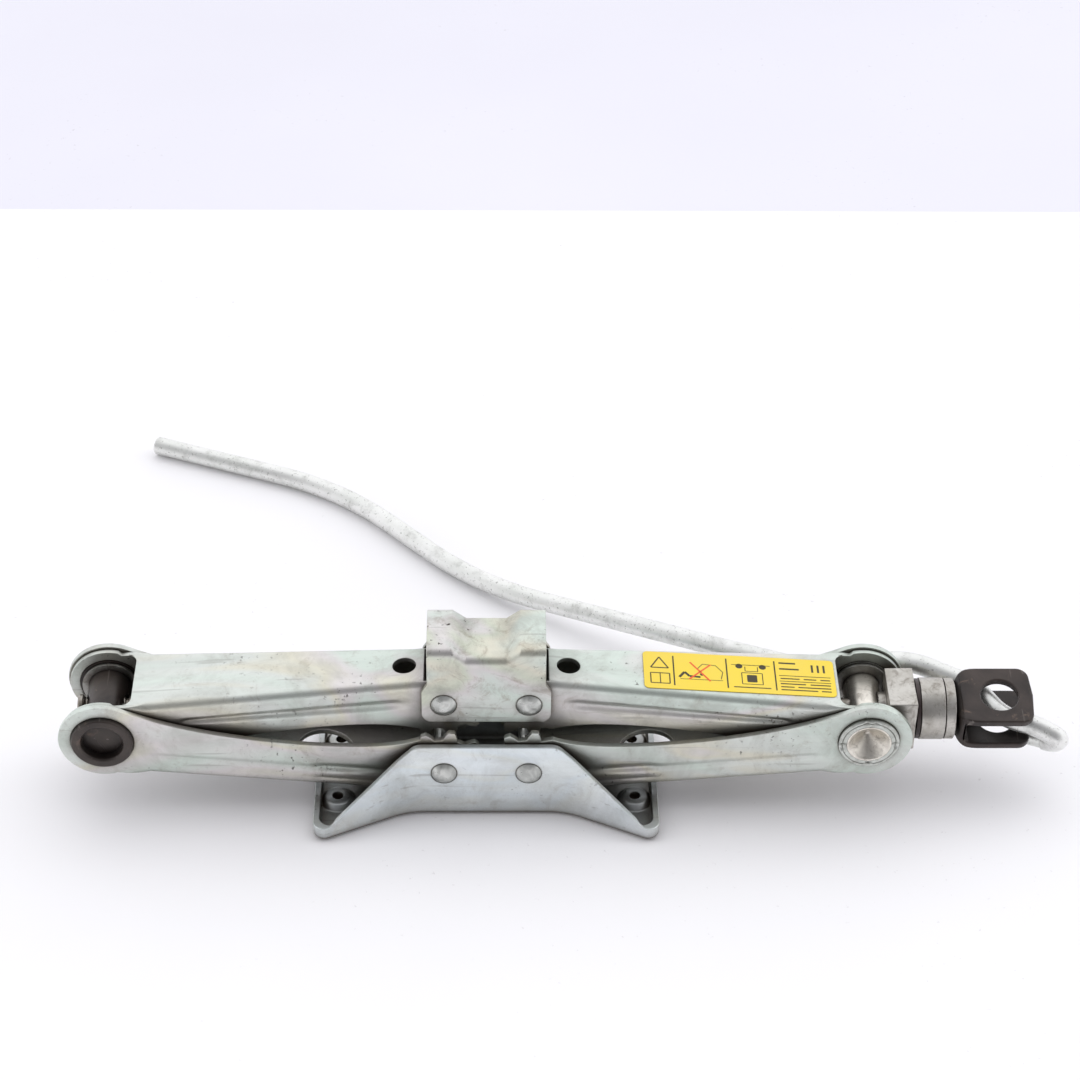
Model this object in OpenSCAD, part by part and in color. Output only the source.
// Scissor jack for a car, wound down for stowing, with its crank handle parked in the screw's fork.
// X runs along the screw, Y across the jack, Z up. The origin is on the ground under the middle
// of the base. The left half is the nut side, the right half is the crank side.

/* [Linkage] */
// Distance between the two pivots of the base, and between the two pivots of the saddle
pivot_spacing = 40; // [40:1:41]
// Distance from a base or saddle pivot to the trunnion at the arm's other end
arm_len = 161; // [159:1:163]
// Angle of the arms to the ground with the jack wound down
rest_angle = 6; // [5:0.5:6]
// Height of the base pivots above the ground
base_pivot_z = 27; // [26.5:0.5:28]

/* [Lower arms] */
// Outer half width of a lower arm
lower_half_w = 23.6; // [23.6:0.1:23.7]
// Sheet thickness of a lower arm
lower_sheet = 3; // [2.8:0.1:3]
// Radius of a lower arm's eye round the trunnion
lower_eye_r = 20.7; // [20:0.1:20.7]
// Radius of the lightening hole in a lower arm's web
lightening_r = 13.5; // [10:0.5:14]

/* [Upper arms] */
// Outer half width of an upper arm at the trunnion
upper_half_w = 20.3; // [20:0.1:20.3]
// Outer half width of an upper arm at the saddle
upper_neck_w = 14; // [13:0.1:14]
// Sheet thickness of an upper arm
upper_sheet = 2.6; // [2.4:0.1:2.6]
// Radius of an upper arm's eye round the trunnion
upper_eye_r = 19.6; // [19:0.1:20]
// Radius of the small hole in an upper arm's web
small_hole_r = 5.5; // [4:0.5:6]

/* [Base] */
// Half length of the base plate
base_half_l = 82; // [80:1:84]
// Outer half width of the base between its feet
base_half_w = 27.2; // [27.2:0.1:27.6]
// Outer half width of the base across its feet
foot_half_w = 45.6; // [42:0.1:48]
// Height of the base's two pivot walls
base_wall_h = 43; // [41:0.5:44]
// Sheet thickness of the base
base_sheet = 3; // [2.8:0.1:3]
// Height of the turned-up rim round the feet
rim_h = 8; // [7:0.5:9]

/* [Saddle] */
// Half length of the saddle's pad
pad_half_l = 27.8; // [27:0.1:29]
// Outer half width of the saddle
saddle_half_w = 16.8; // [16.8:0.1:17]
// Height of the pad above the saddle pivots
pad_rise = 32.5; // [31:0.5:34]
// Depth of the groove across the pad
groove_d = 5; // [4.5:0.1:5.5]

/* [Screw and crank] */
// Outer radius of the lead screw's thread
screw_r = 6; // [5.5:0.1:6]
// Radius of the screw's plain shank through the bearing
shank_r = 5; // [4.5:0.1:5]
// Outer radius of the bearing cup
cup_r = 14.7; // [14:0.1:15]
// Radius of the crank handle's rod
rod_r = 5; // [4.8:0.1:5]
// Angle that the fork is turned about the screw
fork_turn = 10; // [9:1:11]

/* [Label] */
// Length of the label on the right upper arm
label_l = 91; // [80:1:92]
// Width of the label
label_w = 26; // [22:1:28]

/* [Hidden] */
$fn = 48;
// More than the whole jack in any direction, for cutting tools
big = 600;
pivot_x = pivot_spacing / 2;
trunnion_x = pivot_x + arm_len * cos(rest_angle);
trunnion_z = base_pivot_z + arm_len * sin(rest_angle);
saddle_pivot_z = trunnion_z + arm_len * sin(rest_angle);
// Radius of a pivot pin's shank, and the running gap round every turning part
pin_r = 5;
run = 0.06;
// Pins: head radius and height
head_r = 6.2;
head_h = 2.6;
// Gear ends of the arms: ten teeth to a full turn, cut short at root and tip
pitch_r = pivot_x;
root_r = pitch_r - 2.6;
tip_r = pitch_r + 2;
tooth_step = 36;
tooth_count = 4;
left_phase = 8;
right_phase = left_phase - tooth_step / 2;
// Trunnion shafts
nut_r = 10.4;
shaft_r = 8.75;
bush_in = 17.4;
bush_out = 25.5;
nut_bush_r = 14.75;
shaft_bush_r = 14.35;
washer_t = 1.5;
washer_in = bush_in - 0.3 - washer_t;
washer_r = 13.6;
// Depth of each arm's web below its pivots, at the geared end and near the eye
lower_web_near = 17.2;
lower_web_far = 18.9;
upper_web_near = 11.4;
upper_web_far = 16.9;
// Where the web of each arm stops short of the trunnion
window_t = arm_len - 15.5;
window_corner = 4.5;
// Height of each arm's upper edge above its pivots, at mid length
lower_edge = 7.7;
upper_edge = 8;
// Distance along each arm to the hole in its web, and to the web's start
lightening_t = 56;
small_hole_t = 17.5;
lower_web_start = 3;
upper_web_start = 8;
// Thrust stack along the screw
block_x0 = trunnion_x + 9.9;
block_x1 = block_x0 + 13.5;
washer_x0 = block_x1 + 0.2;
washer_x1 = washer_x0 + 2;
cup_x0 = washer_x1 + 0.2;
cup_x1 = cup_x0 + 11.4;
cup_wall = 1.8;
ball_r = 2.5;
ball_ring_r = 9.3;
ball_count = 9;
ball_x = cup_x0 + 3 + ball_r;
ring_x0 = cup_x1 + 0.4;
ring_x1 = ring_x0 + 4.6;
fork_x0 = ring_x1 + 0.3;
fork_web = 4.6;
fork_x1 = fork_x0 + 36.4;
fork_half_w = 16.5;
fork_half_t = 10.4;
fork_leg = 3.9;
fork_hole_x = fork_x0 + 21.2;
fork_hole_r = 9;
screw_end_x = -trunnion_x - 13.5;

// Points along an arc about [cx, cy], from angle a0 to a1, in n steps
function arc(cx, cy, r, a0, a1, n) =
  [for (i = [0:n]) let (a = a0 + (a1 - a0) * i / n) [cx + r * cos(a), cy + r * sin(a)]];
// Points along a curve from p to q that leaves and arrives towards the corner c
function curve(p, c, q, n) =
  [for (i = [0:n]) let (s = i / n) p * (1 - s) * (1 - s) + c * 2 * s * (1 - s) + q * s * s];

// Draws a side outline, X across and Z up, as a plate between two places across the jack
module plate(y0, y1) {
  translate([0, y1, 0]) rotate([90, 0, 0]) linear_extrude(height = y1 - y0) children();
}
// The same plate on both sides of the jack
module both_sides(y0, y1) {
  plate(y0, y1) children();
  plate(-y1, -y0) children();
}
// A round bar or bore along Y, through the point [x, z]
module bar_y(x, z, r, y0, y1) {
  translate([x, y1, z]) rotate([90, 0, 0]) cylinder(h = y1 - y0, r = r);
}
// A round bar or bore along X on the screw's axis
module bar_x(x0, x1, r) {
  translate([x0, 0, trunnion_z]) rotate([0, 90, 0]) cylinder(h = x1 - x0, r = r);
}

// ---- Arms -------------------------------------------------------------------------------
// Each arm is drawn lying along X from its geared pivot at the origin to its eye at arm_len,
// open side up and web below, then turned into place.

// One stub tooth, pointing along X
module tooth() {
  polygon([[root_r - 0.8, -3.7], [pitch_r, -2.6], [tip_r, -1.5], [tip_r, 1.5], [pitch_r, 2.6], [root_r - 0.8, 3.7]]);
}
// The geared end. Teeth start at phase, counted from the line to the partner arm.
module gear_end(phase) {
  circle(r = root_r);
  for (i = [0:tooth_count - 1]) rotate(180 - rest_angle - phase - i * tooth_step) tooth();
}
// Side outline of an arm: geared end, beam and eye
module arm_outline(eye_r, web_near, web_far, edge, phase) {
  eye_a = 110;
  eye_t = arm_len + eye_r * cos(eye_a);
  eye_n = eye_r * sin(eye_a);
  gear_end(phase);
  translate([arm_len, 0]) circle(r = eye_r);
  polygon(concat(
    [[0, -web_near], [arm_len - 8, -web_far], [arm_len, 0], [eye_t, eye_n]],
    curve([eye_t, eye_n], [arm_len * 0.75, edge], [arm_len * 0.46, edge], 8),
    curve([arm_len * 0.4, edge], [arm_len * 0.17, edge + 0.8], [13, 16.5], 8),
    [[4, root_r - 2], [-12, 0], [-6, -web_near + 2]]));
}
// Plan outline of an arm, for the given half widths at its two ends
module arm_plan(near, far) {
  polygon([
    [-40, -near], [14, -near], [arm_len * 0.89, -far], [arm_len + 40, -far],
    [arm_len + 40, far], [arm_len * 0.89, far], [14, near], [-40, near]]);
}
// Everything inside the channel, above the web, and the whole space between the eyes
module channel_void(web_near, web_far, sheet, web_start) {
  web_end = window_t + window_corner;
  plate(-big, big)
    polygon([
      [-60, -60], [web_start, -60], [web_start, sheet - web_near], [web_end, sheet - web_far],
      [web_end, -60], [arm_len + 60, -60], [arm_len + 60, 60], [-60, 60]]);
}
// The opening in the web that the screw and its nut pass through
module web_window(half_w) {
  translate([window_t + window_corner, 0, -50]) linear_extrude(height = 100) {
    translate([0, -half_w]) square([60, 2 * half_w]);
    translate([-window_corner, window_corner - half_w]) square([60, 2 * (half_w - window_corner)]);
    for (s = [-1, 1]) translate([0, s * (half_w - window_corner)]) circle(r = window_corner);
  }
}
module arm(near, far, sheet, eye_r, web_near, web_far, edge, bush_r, hole_t, hole_r, web_start, phase) {
  difference() {
    intersection() {
      plate(-far, far) arm_outline(eye_r, web_near, web_far, edge, phase);
      translate([0, 0, -60]) linear_extrude(height = 120) arm_plan(near, far);
    }
    intersection() {
      channel_void(web_near, web_far, sheet, web_start);
      translate([0, 0, -70]) linear_extrude(height = 140) arm_plan(near - sheet, far - sheet);
    }
    web_window(far - sheet);
    translate([hole_t, 0, -50]) cylinder(h = 60, r = hole_r);
    bar_y(0, 0, pin_r + run, -big, big);
    bar_y(arm_len, 0, bush_r + run, -big, big);
  }
}
module lower_arm(bush_r, phase) {
  translate([pivot_x, 0, base_pivot_z])
    rotate([0, -rest_angle, 0])
      arm(lower_half_w, lower_half_w, lower_sheet, lower_eye_r, lower_web_near, lower_web_far, lower_edge,
        bush_r, lightening_t, lightening_r, lower_web_start, phase);
}
module upper_arm(bush_r, phase) {
  translate([pivot_x, 0, saddle_pivot_z])
    mirror([0, 0, 1])
      rotate([0, -rest_angle, 0])
        arm(upper_neck_w, upper_half_w, upper_sheet, upper_eye_r, upper_web_near, upper_web_far, upper_edge,
          bush_r, small_hole_t, small_hole_r, upper_web_start, phase);
}
module lower_arm_right() {
  color([0.74, 0.77, 0.74]) lower_arm(shaft_bush_r, right_phase);
}
module lower_arm_left() {
  color([0.74, 0.77, 0.74]) mirror([1, 0, 0]) lower_arm(nut_bush_r, left_phase);
}
module upper_arm_right() {
  color([0.77, 0.79, 0.77]) upper_arm(shaft_bush_r, right_phase);
}
module upper_arm_left() {
  color([0.77, 0.79, 0.77]) mirror([1, 0, 0]) upper_arm(nut_bush_r, left_phase);
}

// ---- Base -------------------------------------------------------------------------------
// Floor outline of the base, drawn in by t from its outer faces
module base_floor(t) {
  waist_x = 37;
  shoulder_x = base_half_l - 5;
  half_w = base_half_w - t;
  foot_w = foot_half_w - t;
  end_x = base_half_l - t;
  r = 5.5;
  quarter = concat(
    [[waist_x, half_w], [shoulder_x - 6, foot_w - 2.2]],
    arc(end_x - r, foot_w - r, r, 100, 0, 6));
  right = concat(quarter, [for (i = [len(quarter) - 1:-1:0]) [quarter[i][0], -quarter[i][1]]]);
  left = [for (i = [len(right) - 1:-1:0]) [-right[i][0], right[i][1]]];
  polygon(concat(right, left));
}
// Side view of the base's walls: low at the feet, high round the pivots
module base_side() {
  wall_x = 38;
  r = 7;
  polygon(concat(
    [[-base_half_l - 5, -1], [base_half_l + 5, -1], [base_half_l + 5, rim_h], [base_half_l - 8, rim_h]],
    arc(wall_x - r, base_wall_h - r, r, 42, 90, 5),
    arc(r - wall_x, base_wall_h - r, r, 90, 138, 5),
    [[8 - base_half_l, rim_h], [-base_half_l - 5, rim_h]]));
}
module base_plate() {
  boss_x = 71;
  boss_y = 20;
  boss_r = 6;
  drain_r = 2.5;
  color([0.72, 0.78, 0.78]) difference() {
    union() {
      intersection() {
        difference() {
          linear_extrude(height = base_wall_h) base_floor(0);
          translate([0, 0, base_sheet]) linear_extrude(height = base_wall_h) base_floor(base_sheet);
        }
        plate(-big, big) base_side();
      }
      for (s = [-1, 1], side = [-1, 1])
        translate([s * boss_x, side * boss_y, 1]) cylinder(h = base_sheet + 2, r1 = boss_r + 2, r2 = boss_r);
    }
    for (s = [-1, 1], side = [-1, 1]) translate([s * boss_x, side * boss_y, -1]) cylinder(h = 20, r = drain_r);
    for (s = [-1, 1]) bar_y(s * pivot_x, base_pivot_z, pin_r, -big, big);
  }
}
// A pivot pin: a plain shank with a domed head outside each wall
module pivot_pin(x, z, wall_y) {
  dome_r = (head_r * head_r + head_h * head_h) / (2 * head_h);
  dome_a = asin(head_r / dome_r);
  bar_y(x, z, pin_r, -wall_y, wall_y);
  for (s = [-1, 1])
    translate([x, s * wall_y, z]) rotate([-s * 90, 0, 0])
      rotate_extrude()
        polygon(concat([[0, 0]], arc(0, head_h - dome_r, dome_r, 90 - dome_a, 90, 8)));
}
module base_pin_right() {
  color([0.7, 0.72, 0.7]) pivot_pin(pivot_x, base_pivot_z, base_half_w);
}
module base_pin_left() {
  color([0.7, 0.72, 0.7]) pivot_pin(-pivot_x, base_pivot_z, base_half_w);
}

// ---- Saddle -----------------------------------------------------------------------------
saddle_sheet = 2.5;
pad_z = saddle_pivot_z + pad_rise;
// Top line of the saddle from right to left, lowered by d: flat, groove, flat
function pad_line(d) = [
  [pad_half_l - 1.5, pad_z - d], [16, pad_z - d], [9.5, pad_z - groove_d - d],
  [-9.5, pad_z - groove_d - d], [-16, pad_z - d], [1.5 - pad_half_l, pad_z - d]];
module saddle_outline() {
  skirt_x = pad_half_l + 2.6;
  skirt_z = saddle_pivot_z - 10.7;
  skirt_top = skirt_z + 18;
  r = 5;
  polygon(concat(
    [[pad_half_l, pad_z - 1.5]], pad_line(0), [[-pad_half_l, pad_z - 1.5], [-pad_half_l, skirt_top + 5]],
    [[-skirt_x, skirt_top]], arc(r - skirt_x, skirt_z + r, r, 180, 270, 5),
    arc(skirt_x - r, skirt_z + r, r, 270, 360, 5), [[skirt_x, skirt_top], [pad_half_l, skirt_top + 5]]));
}
module saddle() {
  color([0.76, 0.77, 0.72]) difference() {
    plate(-saddle_half_w, saddle_half_w) saddle_outline();
    plate(saddle_sheet - saddle_half_w, saddle_half_w - saddle_sheet)
      polygon(concat(
        [[big, pad_z - saddle_sheet]], pad_line(saddle_sheet),
        [[-big, pad_z - saddle_sheet], [-big, 0], [big, 0]]));
    for (s = [-1, 1]) bar_y(s * pivot_x, saddle_pivot_z, pin_r, -big, big);
  }
}
module saddle_pin_right() {
  color([0.7, 0.72, 0.7]) pivot_pin(pivot_x, saddle_pivot_z, saddle_half_w);
}
module saddle_pin_left() {
  color([0.7, 0.72, 0.7]) pivot_pin(-pivot_x, saddle_pivot_z, saddle_half_w);
}

// ---- Trunnions --------------------------------------------------------------------------
// Left: the nut, a cross shaft with the screw's threaded hole through its middle
nut_end = 20.6;
module trunnion_nut() {
  color([0.25, 0.21, 0.19]) difference() {
    bar_y(-trunnion_x, trunnion_z, nut_r, -nut_end, nut_end);
    bar_x(-trunnion_x - 30, -trunnion_x + 30, screw_r + run);
  }
}
// Bushes pressed on the nut's ends, open at their outer faces
module nut_bushes() {
  color([0.22, 0.19, 0.18]) difference() {
    both_sides(bush_in, bush_out + 0.3) translate([-trunnion_x, trunnion_z]) circle(r = nut_bush_r);
    bar_y(-trunnion_x, trunnion_z, nut_r, -nut_end, nut_end);
    bar_y(-trunnion_x, trunnion_z, nut_r - 0.7, -big, big);
  }
}
module nut_washers() {
  color([0.55, 0.55, 0.52]) difference() {
    both_sides(washer_in, washer_in + washer_t) translate([-trunnion_x, trunnion_z]) circle(r = washer_r);
    bar_y(-trunnion_x, trunnion_z, nut_r + run, -big, big);
  }
}
// Right: the cross shaft that the screw pulls on, its ends spread into their bushes
cone_r = 9.7;
cone_d = 8.5;
flare_r = 10.6;
flare_d = 2.2;
module shaft_profile() {
  polygon([
    [0, 0], [shaft_r, 0], [shaft_r, bush_out - flare_d], [flare_r, bush_out],
    [cone_r, bush_out], [1.2, bush_out - cone_d], [0, bush_out - cone_d]]);
}
module trunnion_shaft() {
  color([0.62, 0.6, 0.54]) difference() {
    for (s = [-1, 1])
      translate([trunnion_x, 0, trunnion_z]) rotate([s * 90, 0, 0]) rotate_extrude() shaft_profile();
    bar_x(trunnion_x - 30, trunnion_x + 30, shank_r + run);
  }
}
module shaft_bushes() {
  color([0.68, 0.7, 0.66]) difference() {
    both_sides(bush_in, bush_out) translate([trunnion_x, trunnion_z]) circle(r = shaft_bush_r);
    bar_y(trunnion_x, trunnion_z, shaft_r, -big, big);
    for (s = [-1, 1])
      translate([trunnion_x, s * bush_out, trunnion_z]) rotate([s * 90, 0, 0])
        cylinder(h = flare_d, r1 = flare_r, r2 = shaft_r);
  }
}
module shaft_washers() {
  color([0.6, 0.6, 0.57]) difference() {
    both_sides(washer_in, washer_in + washer_t) translate([trunnion_x, trunnion_z]) circle(r = washer_r);
    bar_y(trunnion_x, trunnion_z, shaft_r + run, -big, big);
  }
}

// ---- Thrust bearing ---------------------------------------------------------------------
module thrust_block() {
  block_w = 27;
  block_h = 28;
  nose_r = 8;
  color([0.7, 0.7, 0.66]) difference() {
    union() {
      translate([block_x0, -block_w / 2, trunnion_z - block_h / 2]) cube([block_x1 - block_x0, block_w, block_h]);
      bar_x(block_x0 - 4, block_x0 + 1, nose_r);
    }
    bar_y(trunnion_x, trunnion_z, shaft_r + 0.02, -big, big);
    bar_x(block_x0 - 10, block_x1 + 10, shank_r + 0.2);
  }
}
module thrust_washer() {
  color([0.12, 0.11, 0.11]) difference() {
    bar_x(washer_x0, washer_x1, cup_r - 0.4);
    bar_x(washer_x0 - 1, washer_x1 + 1, shank_r + run);
  }
}
// Cup that holds the balls, open towards the crank
module bearing_cup() {
  color([0.64, 0.64, 0.6]) difference() {
    bar_x(cup_x0, cup_x1, cup_r);
    bar_x(ball_x - ball_r, cup_x1 + 1, cup_r - cup_wall);
    bar_x(cup_x0 - 1, cup_x1 + 1, shank_r + 0.2);
  }
}
module bearing_balls() {
  color([0.8, 0.8, 0.8])
    for (i = [0:ball_count - 1])
      translate([ball_x, 0, trunnion_z]) rotate([i * 360 / ball_count, 0, 0])
        translate([0, ball_ring_r, 0]) sphere(r = ball_r - 0.03);
}
// The race that turns with the screw, with its rim outside the cup
module bearing_ring() {
  color([0.66, 0.66, 0.62]) difference() {
    union() {
      bar_x(ring_x0, ring_x1, cup_r - 0.2);
      bar_x(ball_x + ball_r, ring_x0 + 1, cup_r - cup_wall - 0.3);
    }
    bar_x(ball_x, ring_x1 + 1, shank_r);
  }
}

// ---- Screw, fork and handle -------------------------------------------------------------
// The thread is drawn as a plain bar of its outer size, with a spread stop at its far end
module lead_screw() {
  shoulder_x = trunnion_x - shaft_r - 4;
  color([0.45, 0.42, 0.38]) {
    bar_x(screw_end_x + 2.5, shoulder_x, screw_r);
    bar_x(screw_end_x, screw_end_x + 3, screw_r + 0.9);
    bar_x(shoulder_x - 1, fork_x0 + fork_web, shank_r);
    bar_x(fork_x0 + fork_web, fork_x0 + fork_web + 1.8, shank_r + 0.6);
  }
}
// A U-shaped fork: a web on the screw's end and two legs with a hole through both
module crank_fork() {
  corner = 11;
  mouth_r = 6;
  color([0.24, 0.2, 0.19])
    translate([0, 0, trunnion_z]) rotate([fork_turn, 0, 0]) difference() {
      intersection() {
        plate(-fork_half_w, fork_half_w) fork_side();
        translate([0, 0, -20]) linear_extrude(height = 40)
          polygon(concat(
            [[fork_x0, -fork_half_w + corner], [fork_x0 + 3, -fork_half_w + 3], [fork_x0 + corner, -fork_half_w]],
            arc(fork_x1 - mouth_r, mouth_r - fork_half_w, mouth_r, 270, 352, 4),
            [[fork_x1 + 0.8, 0]],
            arc(fork_x1 - mouth_r, fork_half_w - mouth_r, mouth_r, 8, 90, 4),
            [[fork_x0 + corner, fork_half_w], [fork_x0, fork_half_w - corner]]));
      }
      translate([fork_hole_x, 0, -20]) cylinder(h = 40, r = fork_hole_r);
      rotate([0, 90, 0]) cylinder(h = fork_x1, r = shank_r);
    }
}
// Side view of the fork, with round outer corners where the legs bend
module fork_side() {
  bend_r = 6;
  inner = fork_half_t - fork_leg;
  polygon(concat(
    [[fork_x1 + 2, -fork_half_t]],
    [[fork_x1 + 2, -inner], [fork_x0 + fork_web, -inner], [fork_x0 + fork_web, inner], [fork_x1 + 2, inner]],
    [[fork_x1 + 2, fork_half_t]],
    arc(fork_x0 + bend_r, fork_half_t - bend_r, bend_r, 90, 180, 5),
    arc(fork_x0 + bend_r, bend_r - fork_half_t, bend_r, 180, 270, 5)));
}

// The handle's corner points, from its free end on the ground to the tip of its hook
handle_route = [
  [-184, 263.5, 5], [-80, 222.5, 5], [-4, 140.5, 5], [125, 65.5, 23.3], [160, 47.5, 27], [204, 31, 48],
  [234, 14, 46], [246, -5, 42.6], [262, -10.5, 41.7], [272.5, -16, 38.5], [271, -8, 29], [260, -1, 28.2]];
// How far before and after each corner its bend begins and ends
handle_bend = [0, 38, 38, 10, 14, 12, 9, 8, 5, 5, 5, 0];
handle_grip = 60;
function unit(v) = v / norm(v);
// Centre line of the handle, with every corner rounded
function handle_corner(i) =
  let (
    p = handle_route[i],
    before = p + unit(handle_route[i - 1] - p) * handle_bend[i],
    after = p + unit(handle_route[i + 1] - p) * handle_bend[i])
  curve(before, p, after, 6);
grip_end = handle_route[0] + unit(handle_route[1] - handle_route[0]) * handle_grip;
handle_path = concat(
  [grip_end - unit(handle_route[1] - handle_route[0]) * 2],
  [for (i = [1:len(handle_route) - 2]) each handle_corner(i)],
  [handle_route[len(handle_route) - 1]]);
// Direction of the path at point i
function heading(p, i) =
  unit(p[min(i + 1, len(p) - 1)] - p[max(i - 1, 0)]);
// A tube of radius r along the points p
module tube(p, r, sides) {
  n = len(p);
  rings = [for (i = [0:n - 1])
    let (t = heading(p, i), side = unit(cross(t, [0, 0, 1])), up = cross(side, t))
      for (k = [0:sides - 1]) p[i] + r * (cos(k * 360 / sides) * side + sin(k * 360 / sides) * up)];
  walls = [for (i = [0:n - 2], k = [0:sides - 1])
    let (a = i * sides + k, b = i * sides + (k + 1) % sides) [a, b, b + sides, a + sides]];
  first = [for (k = [sides - 1:-1:0]) k];
  last = [for (k = [0:sides - 1]) (n - 1) * sides + k];
  polyhedron(points = rings, faces = concat([first], walls, [last]));
}
module crank_handle() {
  grip = grip_end - handle_route[0];
  color([0.72, 0.73, 0.71]) {
    translate(handle_route[0]) rotate([0, 90, atan2(grip[1], grip[0])]) cylinder(h = handle_grip, r = rod_r);
    tube(handle_path, rod_r - 0.02, 12);
  }
}

// ---- Label ------------------------------------------------------------------------------
module label() {
  start_t = 53;
  slope = atan2(upper_web_far - upper_web_near, arm_len - 8);
  label_t = 0.3;
  film_gap = 0.02;
  color([0.95, 0.78, 0.1])
    translate([pivot_x, 0, saddle_pivot_z])
      rotate([0, rest_angle, 0])
        translate([0, 0, upper_web_near])
          rotate([0, -slope, 0])
            translate([start_t, -label_w / 2, film_gap]) cube([label_l, label_w, label_t]);
}

base_plate();
base_pin_left();
base_pin_right();
lower_arm_left();
lower_arm_right();
upper_arm_left();
upper_arm_right();
saddle();
saddle_pin_left();
saddle_pin_right();
trunnion_nut();
nut_bushes();
nut_washers();
trunnion_shaft();
shaft_bushes();
shaft_washers();
thrust_block();
thrust_washer();
bearing_cup();
bearing_balls();
bearing_ring();
lead_screw();
crank_fork();
crank_handle();
label();
